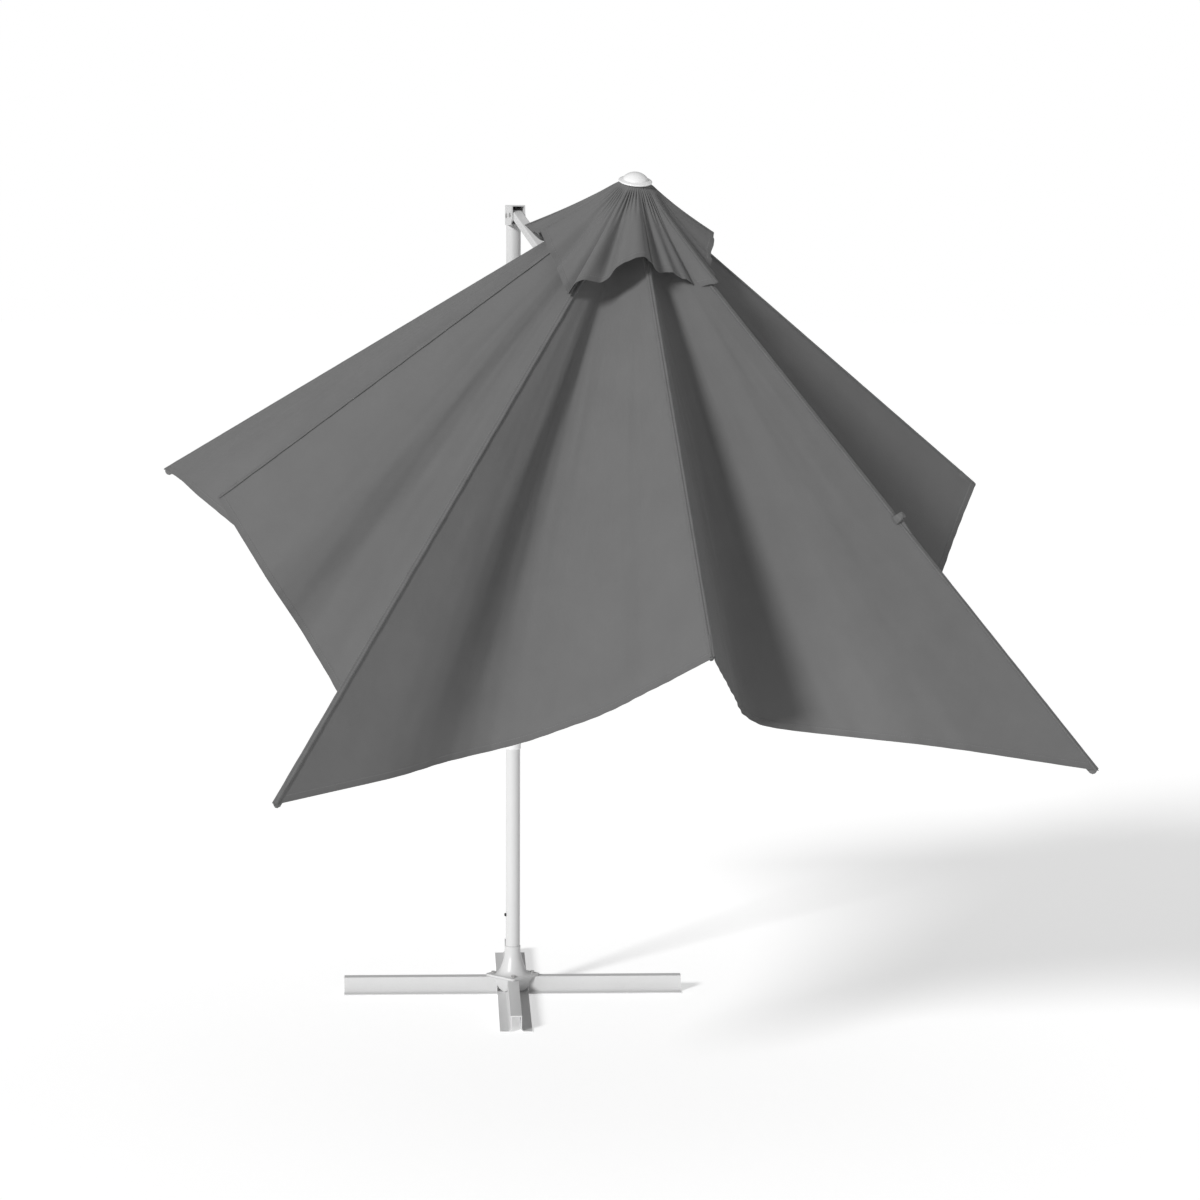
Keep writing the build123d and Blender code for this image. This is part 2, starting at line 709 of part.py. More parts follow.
def rib(index):
    """Rectangular tube with a tongue in the crown, a clip for its stretcher and a rounded tip."""
    angle = azimuth(index)
    length = corner_rib_length if index % 2 else mid_rib_length
    along = canopy_direction(cos(angle) * cos(droop), sin(angle) * cos(droop), -sin(droop))
    tangent = canopy_direction(-sin(angle), cos(angle), 0)
    pivot = outward(angle, rib_ring, rib_pivot_height)
    line = Plane(origin=pivot, x_dir=tangent, z_dir=along)
    body_length = length - rib_start - tube_start - 6
    with BuildPart() as rib_part:
        with BuildSketch(line.offset(tube_start)):
            Rectangle(rib_width, rib_depth)
        extrude(amount=body_length)
        with BuildSketch(line.offset(tube_start + 10)):
            Rectangle(rib_width - 2 * rib_wall, rib_depth - 2 * rib_wall)
        extrude(amount=body_length - 20, mode=Mode.SUBTRACT)
        tip_edges = rib_part.faces().sort_by(Axis(origin=pivot, direction=along))[-1].edges()
        fillet(tip_edges, radius=2.5)
        side_plane = Plane(
            origin=pivot - tangent * tongue_thickness / 2, x_dir=along, z_dir=tangent
        )
        with BuildSketch(side_plane):
            Circle(rib_eye)
            with Locations((tube_start / 2 + 3, 0)):
                Rectangle(tube_start + 6, 2 * rib_eye)
            Circle(pivot_wire + wire_fit, mode=Mode.SUBTRACT)
        extrude(amount=tongue_thickness)
        below = -stretcher_offset if side_plane.y_dir.dot(canopy.z_dir) > 0 else stretcher_offset
        for start in (-clip_gap - clip_cheek, clip_gap):
            clip_plane = Plane(origin=pivot + tangent * start, x_dir=along, z_dir=tangent)
            with BuildSketch(clip_plane):
                with Locations((stretcher_reach, below)):
                    Circle(stretcher_eye + 0.5)
                with Locations((stretcher_reach, below * 0.75)):
                    Rectangle(2 * stretcher_eye + 1, abs(below) * 0.55)
            extrude(amount=clip_cheek)
        wire_plane = Plane(
            origin=pivot - tangent * (clip_gap + 1), x_dir=along, z_dir=tangent
        )
        with BuildSketch(wire_plane):
            with Locations((stretcher_reach, below)):
                Circle(pivot_wire)
        extrude(amount=2 * clip_gap + 2)
    finish(rib_part.part, f"rib_{rib_names[index]}")


def stretcher(index):
    """Square tube from a rib's clip down to the runner, with a tongue at each end."""
    angle = azimuth(index)
    tangent = canopy_direction(-sin(angle), cos(angle), 0)
    low = outward(angle, rib_ring, runner_height)
    upward = canopy_direction(
        cos(angle) * cos(stretcher_angle), sin(angle) * cos(stretcher_angle), sin(stretcher_angle)
    )
    line = Plane(origin=low, x_dir=tangent, z_dir=upward)
    setback = 14.0
    with BuildPart() as stretcher_part:
        with BuildSketch(line.offset(setback)):
            Rectangle(stretcher_side, stretcher_side)
            Rectangle(stretcher_side - 2, stretcher_side - 2, mode=Mode.SUBTRACT)
        extrude(amount=stretcher_length - 2 * setback)
        side_plane = Plane(origin=low - tangent * 2.3, x_dir=upward, z_dir=tangent)
        for centre, reach in ((0.0, setback + 12), (stretcher_length, -setback - 12)):
            with BuildSketch(side_plane):
                with Locations((centre, 0)):
                    Circle(stretcher_eye)
                with Locations((centre + reach / 2, 0)):
                    Rectangle(abs(reach), stretcher_side - 2)
                with Locations((centre, 0)):
                    Circle(pivot_wire + wire_fit, mode=Mode.SUBTRACT)
            extrude(amount=4.6)
    finish(stretcher_part.part, f"stretcher_{rib_names[index]}")


for rib_index in range(rib_count):
    rib(rib_index)
    stretcher(rib_index)

# ---- fabric -------------------------------------------------------------------------------------
gore_names = [
    "front_right_inner",
    "front_right_outer",
    "back_right_outer",
    "back_right_inner",
    "back_left_inner",
    "back_left_outer",
    "front_left_outer",
    "front_left_inner",
]
fold_share = 0.26
seam_clear = 18.3
seam_lower = 11.0


def rib_direction(index, fall):
    """Unit direction of a rib in the canopy's frame, falling at an angle."""
    angle = azimuth(index)
    return Vector(cos(angle) * cos(fall), sin(angle) * cos(fall), -sin(fall))


def valley_direction(index):
    """Direction of the slack fold in a gore. The two facets together keep the gore's open angle."""
    near, far = (index, index + 1) if index % 2 == 0 else (index + 1, index)
    first = rib_direction(near, droop)
    second = rib_direction(far, droop)
    chord = (first * (1 - fold_share) + second * fold_share).normalized()
    inward = Vector(-chord.X, -chord.Y, -0.9).normalized()
    depth = 0.0
    while depth < 0.6:
        valley = (chord + inward * depth).normalized()
        spread = degrees(acos(valley.dot(first)) + acos(valley.dot(second)))
        if spread >= open_gore_angle:
            break
        depth += 0.01
    return valley


def gore(name, index, inner, mid_length, corner_length, lift):
    """Thin closed panel between two ribs: two facets that meet in the slack fold."""
    bisector = (azimuth(index) + azimuth(index + 1)) / 2
    apex = Vector(seam_clear * cos(bisector), seam_clear * sin(bisector), lift - seam_lower)
    valley = valley_direction(index)
    ends = [corner_length if (index + step) % 2 else mid_length for step in (0, 1)]
    share = fold_share if index % 2 == 0 else 1 - fold_share
    valley_length = ends[0] * (1 - share) + ends[1] * share
    rays = [
        (rib_direction(index, droop), ends[0]),
        (valley, valley_length),
        (rib_direction(index + 1, droop), ends[1]),
    ]
    with BuildPart() as panel:
        for (first, first_end), (second, second_end) in zip(rays[:-1], rays[1:]):
            normal = first.cross(second).normalized()
            facet = Plane(
                origin=canopy.from_local_coords(apex),
                x_dir=canopy_direction(*first),
                z_dir=canopy_direction(*normal),
            )
            corners = [first * inner, first * first_end, second * second_end, second * inner]
            spots = [facet.to_local_coords(canopy.from_local_coords(apex + c)) for c in corners]
            with BuildSketch(facet):
                with BuildLine():
                    Polyline(*[(spot.X, spot.Y) for spot in spots], close=True)
                make_face()
            extrude(amount=cloth)
    finish(panel.part, name)


for gore_index in range(rib_count):
    place = gore_names[gore_index]
    mid_end = mid_rib_length - canopy_margin
    corner_end = corner_rib_length - canopy_margin
    gore(f"canopy_{place}", gore_index, canopy_inner, mid_end, corner_end, 0)
    gore(f"vent_{place}", gore_index, vent_inner, vent_mid, vent_corner, vent_lift)

# ---- crank --------------------------------------------------------------------------------------
housing_side = 62.0
housing_back = mast_radius + 46.0
housing_wall = 3.0
drum_radius = 11.0
drum_flange_radius = 22.0
drum_flange = 2.5
drum_shaft_radius = 7.0
shaft_fit = 0.3
drum_start = mast_radius + 8.0
drum_end = housing_back - housing_wall - 4.0

with BuildPart() as crank_housing:
    # Open towards the mast, with a round saddle cut to the tube.
    with BuildSketch(Plane.XZ.offset(-3)):
        with Locations((0, crank_height)):
            RectangleRounded(housing_side, housing_side + 24, radius=10)
    extrude(amount=-(housing_back - 3))
    fillet(crank_housing.faces().sort_by(Axis.Y)[-1].outer_wire().edges(), radius=6)
    with BuildSketch(Plane.XZ.offset(-mast_radius - 4)):
        with Locations((0, crank_height)):
            RectangleRounded(housing_side - 2 * housing_wall, housing_side + 18, radius=7)
    extrude(amount=-(housing_back - housing_wall - mast_radius - 4), mode=Mode.SUBTRACT)
    with BuildSketch(Plane.XY.offset(crank_height - housing_side)):
        Circle(mast_radius + 0.1)
    extrude(amount=2 * housing_side, mode=Mode.SUBTRACT)
    with BuildSketch(Plane.XZ.offset(-drum_end)):
        with Locations((0, crank_height)):
            Circle(drum_shaft_radius + shaft_fit)
    extrude(amount=-20, mode=Mode.SUBTRACT)
finish(crank_housing.part, "crank_housing")

with BuildPart() as crank_drum:
    with BuildSketch(Plane.XZ.offset(-drum_start)):
        with Locations((0, crank_height)):
            Circle(drum_radius)
    extrude(amount=-(drum_end - drum_start))
    for flange_start in (drum_start, drum_end - drum_flange):
        with BuildSketch(Plane.XZ.offset(-flange_start)):
            with Locations((0, crank_height)):
                Circle(drum_flange_radius)
        extrude(amount=-drum_flange)
    with BuildSketch(Plane.XZ.offset(-drum_end)):
        with Locations((0, crank_height)):
            Circle(drum_shaft_radius)
    extrude(amount=-(housing_back - drum_end + 1))
finish(crank_drum.part, "crank_drum")

arm_plate = housing_back + 1.2

with BuildPart() as crank_arm:
    with BuildSketch(Plane.XZ.offset(-arm_plate)):
        with Locations((0, crank_height - crank_throw / 2)):
            SlotCenterToCenter(crank_throw, 20, rotation=90)
    extrude(amount=-7)
    with BuildSketch(Plane.XZ.offset(-arm_plate)):
        with Locations((0, crank_height)):
            Circle(14)
    extrude(amount=-11)
    with BuildSketch(Plane.XZ.offset(-arm_plate - 7)):
        with Locations((0, crank_height - crank_throw)):
            Circle(4)
    extrude(amount=-46)
finish(crank_arm.part, "crank_arm")

with BuildPart() as crank_knob:
    knob_axis = Axis(origin=(0, 0, crank_height - crank_throw), direction=(0, 1, 0))
    start = arm_plate + 7.5
    with BuildSketch(Plane.YZ):
        with BuildLine():
            low = crank_height - crank_throw
            foot = Line((start, low + 4.3), (start, low + 9))
            grip = Spline(
                foot @ 1,
                (start + 16, low + 11.5),
                (start + 34, low + 10.5),
                (start + 44, low + 5),
                tangents=[(1, 0.4), (0.4, -1)],
            )
            end_face = Line(grip @ 1, (start + 44, low + 4.3))
            Line(end_face @ 1, foot @ 0)
        make_face()
    revolve(axis=knob_axis)
finish(crank_knob.part, "crank_knob")
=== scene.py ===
"""Cantilever parasol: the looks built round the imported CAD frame.

Metres, +Z up, in the CAD's frame: the origin is on the ground on the mast's axis, the arm points
along -Y. The fabric hangs slack between the ribs, so each gore is a general cone from the crown.
"""

import json
import math

import bpy
import numpy as np
from mathutils import Matrix, Vector


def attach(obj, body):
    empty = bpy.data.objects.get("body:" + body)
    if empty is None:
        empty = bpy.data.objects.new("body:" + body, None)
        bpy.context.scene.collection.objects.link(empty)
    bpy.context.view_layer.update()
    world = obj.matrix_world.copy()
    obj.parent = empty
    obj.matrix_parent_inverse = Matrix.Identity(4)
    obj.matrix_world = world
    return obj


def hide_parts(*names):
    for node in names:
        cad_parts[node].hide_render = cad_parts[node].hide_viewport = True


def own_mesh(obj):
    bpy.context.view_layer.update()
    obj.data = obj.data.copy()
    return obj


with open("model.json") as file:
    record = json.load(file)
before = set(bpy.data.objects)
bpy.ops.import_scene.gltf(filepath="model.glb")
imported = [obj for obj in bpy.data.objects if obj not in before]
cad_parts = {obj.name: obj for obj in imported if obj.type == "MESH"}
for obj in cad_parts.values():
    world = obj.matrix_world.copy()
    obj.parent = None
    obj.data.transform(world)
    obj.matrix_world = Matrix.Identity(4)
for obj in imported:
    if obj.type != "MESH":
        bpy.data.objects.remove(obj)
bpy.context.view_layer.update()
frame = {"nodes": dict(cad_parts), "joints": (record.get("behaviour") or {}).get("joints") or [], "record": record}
joints = {joint["name"]: joint for joint in frame["joints"]}

# ---- camera --------------------------------------------------------------------------------------
# Fitted to the photo's view of the base cross and the ribs.
camera_place = Vector((-2.18873, -9.38760, 2.305))
camera_turn = math.radians(-14.64)
camera_pitch = math.radians(-6.70)
camera_roll = math.radians(-0.23)

camera_data = bpy.data.cameras.new("camera")
camera_data.sensor_width = 36
camera_data.lens = 99.09
camera = bpy.data.objects.new("camera", camera_data)
bpy.context.scene.collection.objects.link(camera)
camera.matrix_world = (
    Matrix.Translation(camera_place)
    @ Matrix.Rotation(camera_turn, 4, "Z")
    @ Matrix.Rotation(camera_pitch, 4, "X")
    @ Matrix.Rotation(camera_roll, 4, "Y")
    @ Matrix.Rotation(math.radians(90), 4, "X")
)
bpy.context.scene.camera = camera


def unit(v):
    """v divided by its length, along the last axis."""
    return v / np.linalg.norm(v, axis=-1, keepdims=True)


# ---- the canopy's own frame, from the ribs' hinges ----------------------------------------------
RIBS = ["front", "front_right", "right", "back_right", "back", "back_left", "left", "front_left"]
# Gore i lies between rib i and rib i + 1.
GORES = [
    "front_right_inner",
    "front_right_outer",
    "back_right_outer",
    "back_right_inner",
    "back_left_inner",
    "back_left_outer",
    "front_left_outer",
    "front_left_inner",
]
RIB_COUNT = len(RIBS)
# The ribs' droop at rest, and that of the fully open canopy, with its cloth taut.
DROOP = math.radians(38.8)
OPEN_DROOP = math.radians(15)
# From the cone's apex to a rib's hinge: along the rib, and at right angles below it.
RIB_START = 0.062
RIB_DROP = 0.012
# The cloth's length from the apex along a rib to the middle of a side, and to a corner.
MID_RIB = 1.310
CORNER_RIB = 1.852

pivots = [np.array(joints["rib_fold_" + name]["pos_m"]) for name in RIBS]
tangents = [np.array(joints["rib_fold_" + name]["axis"]) for name in RIBS]
ring_centre = sum(pivots) / RIB_COUNT
to_right = pivots[RIBS.index("right")] - pivots[RIBS.index("left")]
to_back = pivots[RIBS.index("back")] - pivots[RIBS.index("front")]
up = unit(np.cross(to_right, to_back))
apex = ring_centre + up * (RIB_START * math.sin(DROOP) + RIB_DROP * math.cos(DROOP))

# Unit directions of each rib: level and away from the pole, down the rib, and out of the cloth.
radials = [np.cross(tangent, up) for tangent in tangents]
rays = [radial * math.cos(DROOP) - up * math.sin(DROOP) for radial in radials]
rises = [np.cross(tangent, ray) for tangent, ray in zip(tangents, rays)]
rises = [rise if rise @ up > 0 else -rise for rise in rises]
lengths = [CORNER_RIB if index % 2 else MID_RIB for index in range(RIB_COUNT)]

# A gore is cut to be taut when the canopy is fully open. These are the cut's angle and hem.
gore_angle = math.acos(
    math.sin(OPEN_DROOP) ** 2 + math.cos(OPEN_DROOP) ** 2 * math.cos(math.tau / RIB_COUNT)
)
hem_length = math.sqrt(
    MID_RIB**2 + CORNER_RIB**2 - 2 * MID_RIB * CORNER_RIB * math.cos(gore_angle)
)
mid_corner_angle = math.acos(
    (MID_RIB**2 + hem_length**2 - CORNER_RIB**2) / (2 * MID_RIB * hem_length)
)


# ---- curves and areas ---------------------------------------------------------------------------


def spline(points, count):
    """Smooth curve through points, closer where they are close, as count points."""
    points = np.array(points)
    knots = np.concatenate(
        [[0], np.cumsum(np.sqrt(np.linalg.norm(np.diff(points, axis=0), axis=1)))]
    )
    knots /= knots[-1]
    last = len(points) - 1
    slopes = np.array(
        [
            (points[min(i + 1, last)] - points[max(i - 1, 0)])
            / (knots[min(i + 1, last)] - knots[max(i - 1, 0)])
            for i in range(last + 1)
        ]
    )
    x = np.linspace(0, 1, count)
    i = np.clip(np.searchsorted(knots, x, side="right") - 1, 0, last - 1)
    h = (knots[i + 1] - knots[i])[:, None]
    u = ((x - knots[i])[:, None]) / h
    return (
        (2 * u**3 - 3 * u**2 + 1) * points[i]
        + (u**3 - 2 * u**2 + u) * h * slopes[i]
        + (3 * u**2 - 2 * u**3) * points[i + 1]
        + (u**3 - u**2) * h * slopes[i + 1]
    )


def smooth(x, low, high):
    """0 below low, 1 above high and a smooth step between."""
    t = np.clip((x - low) / (high - low), 0, 1)
    return t * t * (3 - 2 * t)


# How each gore's slack lies: (share of the way from its first rib to its second, depth) pairs.
# The depths are relative, because each curve is scaled until it has the gore's cut angle.
SLACK = {
    "front_right_inner": [(0.15, 0.097), (0.29, 0.190), (0.45, 0.196), (0.70, 0.073)],
    "front_right_outer": [(0.25, 0.16), (0.50, 0.21), (0.73, 0.12)],
    "back_right_outer": [(0.14, 0.12), (0.30, 0.18), (0.60, 0.03)],
    "back_right_inner": [(0.30, 0.06), (0.66, 0.20), (0.85, 0.10)],
    "back_left_inner": [(0.15, 0.10), (0.34, 0.20), (0.70, 0.06)],
    "back_left_outer": [(0.45, 0.01), (0.72, 0.17), (0.87, 0.13)],
    "front_left_outer": [(0.30, 0.08), (0.45, 0.17), (0.69, 0.195)],
    "front_left_inner": [(0.18, 0.080), (0.30, 0.180), (0.45, 0.188), (0.69, 0.130)],
}
# The scale of the depths is sought between these two, by halving.
LEAST_SCALE, MOST_SCALE = 0.1, 4.0
HALVINGS = 40
CURVE_STEPS = 241


def gore_curve(index):
    """Unit directions across a gore, evenly spaced by angle, and their outward normals."""
    first, second = rays[index], rays[(index + 1) % RIB_COUNT]
    middle = unit(first + second)
    outward = unit(np.cross(second - first, middle))
    if outward @ up < 0:
        outward = -outward
    low, high = LEAST_SCALE, MOST_SCALE
    for _ in range(HALVINGS):
        scale = (low + high) / 2
        points = [first]
        for share, depth in SLACK[GORES[index]]:
            points.append(first * (1 - share) + second * share - outward * depth * scale)
        curve = unit(spline([unit(p) for p in points + [second]], CURVE_STEPS))
        steps = np.arccos(np.clip((curve[1:] * curve[:-1]).sum(1), -1, 1))
        if steps.sum() < gore_angle:
            low = scale
        else:
            high = scale
    angle = np.concatenate([[0], np.cumsum(steps)]) * gore_angle / steps.sum()
    even = np.linspace(0, gore_angle, CURVE_STEPS)
    curve = unit(np.stack([np.interp(even, angle, curve[:, i]) for i in range(3)], axis=1))
    normal = unit(np.cross(curve, np.gradient(curve, axis=0)))
    if normal[CURVE_STEPS // 2] @ outward < 0:
        normal = -normal
    return curve, normal


curves = [gore_curve(index) for index in range(RIB_COUNT)]


def split_step(index):
    """Step of a gore's curve that lies in the plane half-way between its two ribs."""
    side = curves[index][0] @ (rays[index] - rays[(index + 1) % RIB_COUNT])
    return int(np.argmin(np.abs(side)))


def hem_reach(angle):
    """Distance from the apex to the straight hem of the cut, at an angle from the mid rib."""
    return MID_RIB * math.sin(mid_corner_angle) / np.sin(mid_corner_angle + angle)


# ---- materials ----------------------------------------------------------------------------------


class Nodes:
    """Short way to write a node material."""

    def __init__(self, name):
        self.material = bpy.data.materials.new(name)
        self.material.use_nodes = True
        self.tree = self.material.node_tree
        self.tree.nodes.clear()
        self.shader = self.add("ShaderNodeBsdfPrincipled")
        output = self.add("ShaderNodeOutputMaterial")
        self.tree.links.new(self.shader.outputs[0], output.inputs[0])

    def add(self, kind, **properties):
        """New node with its properties set."""
        node = self.tree.nodes.new(kind)
        for key, value in properties.items():
            setattr(node, key, value)
        return node

    def put(self, node, key, value):
        """Links value to an input if it is an output, or else sets it."""
        socket = node.inputs[key]
        if isinstance(value, bpy.types.NodeSocket):
            self.tree.links.new(value, socket)
        else:
            socket.default_value = value

    def place(self):
        """Place in the object, in metres."""
        return self.add("ShaderNodeTexCoord").outputs["Object"]

    def split(self, vector):
        """The x, y and z outputs of a vector."""
        node = self.add("ShaderNodeSeparateXYZ")
        self.put(node, 0, vector)
        return node.outputs

    def math(self, operation, a, b=0.0):
        """Result of one step of arithmetic; a step on one number ignores b."""
        node = self.add("ShaderNodeMath", operation=operation)
        self.put(node, 0, a)
        self.put(node, 1, b)
        return node.outputs[0]

    def sine(self, value, wavelength):
        """Sine wave along value."""
        return self.math("SINE", self.math("MULTIPLY", value, math.tau / wavelength))

    def noise(self, vector, scale, detail, roughness=0.5):
        """Noise from 0 to 1; scale is in features per metre."""
        node = self.add("ShaderNodeTexNoise")
        self.put(node, "Vector", vector)
        self.put(node, "Scale", scale)
        self.put(node, "Detail", detail)
        self.put(node, "Roughness", roughness)
        return node.outputs["Fac"]

    def ramp(self, value, low, high, start, end):
        """value from low..high to start..end, clamped."""
        node = self.add("ShaderNodeMapRange")
        for key, number in zip(
            ("Value", "From Min", "From Max", "To Min", "To Max"), (value, low, high, start, end)
        ):
            self.put(node, key, number)
        return node.outputs[0]

    def mix(self, factor, a, b):
        """Colour between two colours."""
        node = self.add("ShaderNodeMix", data_type="RGBA")
        self.put(node, 0, factor)
        self.put(node, 6, a)
        self.put(node, 7, b)
        return node.outputs[2]

    def attribute(self, name):
        """One of a mesh's own numbers."""
        return self.add("ShaderNodeAttribute", attribute_name=name).outputs["Fac"]

    def bump(self, heights):
        """Chain of bumps from (height, distance in metres, strength)."""
        normal = None
        for height, distance, strength in heights:
            node = self.add("ShaderNodeBump")
            self.put(node, "Height", height)
            self.put(node, "Distance", distance)
            self.put(node, "Strength", strength)
            if normal:
                self.put(node, "Normal", normal)
            normal = node.outputs[0]
        self.put(self.shader, "Normal", normal)

    def set(self, **values):
        """Sets or links the shader's inputs."""
        for key, value in values.items():
            self.put(self.shader, key.replace("_", " "), value)


def grey(value, warm=0.0):
    """Grey with a little red added and blue taken away."""
    return (value * (1 + warm), value, value * (1 - warm), 1)


# The cloth, in metres: its threads, and the row of lock stitches that holds the hem's fold.
THREAD = 0.0009
HEM_SHADE = 0.018
STITCH_INSET = 0.015
STITCH_HALF_WIDTH = 0.0009
STITCH_PITCH = 0.006
SEAM_STITCH_PITCH = 0.007


def fabric_material():
    """Grey polyester canvas: plain weave, soft mottling, faint creases and a stitched hem."""
    n = Nodes("grey_canvas")
    flat = n.add("ShaderNodeUVMap", uv_map="flat").outputs[0]
    place = n.place()
    cut = n.split(flat)
    weave = n.math("MULTIPLY", n.sine(cut[0], THREAD), n.sine(cut[1], THREAD))
    mottle = n.noise(place, scale=9.0, detail=5.0, roughness=0.6)
    slub = n.noise(flat, scale=420.0, detail=2.0)
    crease = n.noise(place, scale=5.0, detail=6.0, roughness=0.65)
    edge = n.attribute("edge")
    dash = n.math("GREATER_THAN", n.sine(n.attribute("along"), STITCH_PITCH), -0.4)
    off_row = n.math("ABSOLUTE", n.math("SUBTRACT", edge, STITCH_INSET))
    stitch = n.math("MULTIPLY", dash, n.math("LESS_THAN", off_row, STITCH_HALF_WIDTH))
    base = n.mix(n.ramp(mottle, 0.3, 0.7, 0, 1), grey(0.128), grey(0.143))
    base = n.mix(n.ramp(slub, 0.35, 0.65, 0, 0.35), base, grey(0.112))
    base = n.mix(n.ramp(weave, -1, 1, 0, 0.10), base, grey(0.22))
    base = n.mix(n.ramp(edge, 0.0, HEM_SHADE, 0.16, 0.0), base, grey(0.07))
    base = n.mix(n.math("MULTIPLY", stitch, 0.6), base, grey(0.21))
    n.set(Base_Color=base, Roughness=n.ramp(mottle, 0.3, 0.7, 0.78, 0.88))
    n.set(Sheen_Weight=0.12, Sheen_Roughness=0.5, Specular_IOR_Level=0.25)
    n.bump([(crease, 0.02, 0.10), (weave, 0.0002, 0.35), (stitch, 0.0008, 0.8)])
    return n.material


def binding_material():
    """The same cloth doubled for seams and pockets, a little darker and stitched along."""
    n = Nodes("grey_binding")
    place = n.place()
    mottle = n.noise(place, scale=30.0, detail=4.0, roughness=0.6)
    fine = n.noise(place, scale=900.0, detail=2.0)
    stitch = n.math("GREATER_THAN", n.sine(n.attribute("along"), SEAM_STITCH_PITCH), 0.35)
    base = n.mix(n.ramp(mottle, 0.3, 0.7, 0, 1), grey(0.116), grey(0.138))
    base = n.mix(n.math("MULTIPLY", stitch, 0.16), base, grey(0.20))
    n.set(Base_Color=base, Roughness=n.ramp(fine, 0.3, 0.7, 0.75, 0.9))
    n.set(Sheen_Weight=0.12, Sheen_Roughness=0.5, Specular_IOR_Level=0.25)
    n.bump([(fine, 0.0006, 0.5), (stitch, 0.0005, 0.4)])
    return n.material


def paint_material(name, value, rough, grime):
    """Powder coat: fine orange peel, slight tone changes, and scuffs and dust low down."""
    n = Nodes(name)
    place = n.place()
    height = n.split(place)[2]
    peel = n.noise(place, scale=700.0, detail=2.0)
    tone = n.noise(place, scale=6.0, detail=4.0, roughness=0.6)
    scuff = n.noise(place, scale=55.0, detail=6.0, roughness=0.75)
    low_down = n.ramp(height, 0.0, 0.10, 1.0, 0.15)
    marks = n.math("MULTIPLY", n.ramp(scuff, 0.60, 0.78, 0, grime), low_down)
    base = n.mix(n.ramp(tone, 0.3, 0.7, 0, 1), grey(value * 0.97), grey(value))
    base = n.mix(marks, base, grey(0.45, 0.03))
    n.set(Base_Color=base, Roughness=n.ramp(tone, 0.3, 0.7, rough - 0.05, rough + 0.05))
    n.bump([(peel, 0.0003, 0.12), (scuff, 0.0003, 0.06)])
    return n.material


def plastic_material(name, value, rough, coat=0.0):
    """Moulded plastic: a fine spark-eroded grain and small tone changes."""
    n = Nodes(name)
    place = n.place()
    grain = n.noise(place, scale=1500.0, detail=2.0)
    tone = n.noise(place, scale=18.0, detail=4.0, roughness=0.6)
    base = n.mix(n.ramp(tone, 0.3, 0.7, 0, 1), grey(value * 0.94), grey(value))
    n.set(Base_Color=base, Roughness=n.ramp(tone, 0.3, 0.7, rough - 0.04, rough + 0.06))
    n.set(Coat_Weight=coat, Coat_Roughness=0.2)
    n.bump([(grain, 0.0002, 0.15)])
    return n.material


def zinc_material():
    """Bright zinc plate with fine turning marks and dull spots."""
    n = Nodes("zinc_plate")
    place = n.place()
    spots = n.noise(place, scale=160.0, detail=5.0, roughness=0.7)
    lines = n.noise(place, scale=2400.0, detail=1.0)
    base = n.mix(n.ramp(spots, 0.4, 0.7, 0, 1), grey(0.62), grey(0.48, 0.03))
    n.set(Base_Color=base, Roughness=n.ramp(spots, 0.3, 0.7, 0.28, 0.5), Metallic=1.0)
    n.bump([(lines, 0.0002, 0.2)])
    return n.material


canvas = fabric_material()
binding = binding_material()
FINISHES = {
    "white_steel": paint_material("white_powder_coat", value=0.65, rough=0.36, grime=0.35),
    "white_aluminium": paint_material("white_coated_tube", value=0.67, rough=0.33, grime=0.12),
    "zinc_steel": zinc_material(),
    "white_plastic": plastic_material("white_plastic", value=0.84, rough=0.22, coat=0.3),
    "grey_plastic": plastic_material("grey_plastic", value=0.17, rough=0.5),
    "black_plastic": plastic_material("black_plastic", value=0.02, rough=0.4),
    "grey_fabric": canvas,
}
for subpart in frame["record"]["subparts"]:
    mesh = frame["nodes"][subpart["node"]].data
    mesh.materials.clear()
    mesh.materials.append(FINISHES[subpart["material_slot"]])


# ---- building pieces ----------------------------------------------------------------------------
CLOTH = 0.0008
SHARP_RIM = math.radians(55)


def grid_piece(name, points, material, attributes, uv=None, wrap=False):
    """Mesh of quads from rows x columns of points, with a number per point for each attribute."""
    rows, columns = points.shape[:2]
    last = columns if wrap else columns - 1
    faces = []
    for row in range(rows - 1):
        here, below = row * columns, (row + 1) * columns
        for column in range(last):
            after = (column + 1) % columns
            faces.append((here + column, here + after, below + after, below + column))
    mesh = bpy.data.meshes.new(name)
    mesh.from_pydata(points.reshape(-1, 3).tolist(), [], faces)
    for key, values in attributes.items():
        layer = mesh.attributes.new(key, "FLOAT", "POINT")
        layer.data.foreach_set("value", np.ascontiguousarray(values, np.float32).ravel())
    if uv is not None:
        layer = mesh.uv_layers.new(name="flat")
        corner = np.zeros(len(mesh.loops), np.int32)
        mesh.loops.foreach_get("vertex_index", corner)
        layer.data.foreach_set("uv", uv.reshape(-1, 2)[corner].astype(np.float32).ravel())
    mesh.polygons.foreach_set("use_smooth", [True] * len(mesh.polygons))
    mesh.materials.append(material)
    mesh.update()
    piece = bpy.data.objects.new(name, mesh)
    bpy.context.scene.collection.objects.link(piece)
    return piece


def thicken(piece, thickness):
    """Gives a sheet its thickness, inwards from the surface, with sharp rims."""
    modifier = piece.modifiers.new("cloth", "SOLIDIFY")
    modifier.thickness = thickness
    modifier.offset = -1
    evaluated = piece.evaluated_get(bpy.context.evaluated_depsgraph_get())
    mesh = bpy.data.meshes.new_from_object(evaluated)
    piece.modifiers.clear()
    piece.data = mesh
    mesh.set_sharp_from_angle(angle=SHARP_RIM)


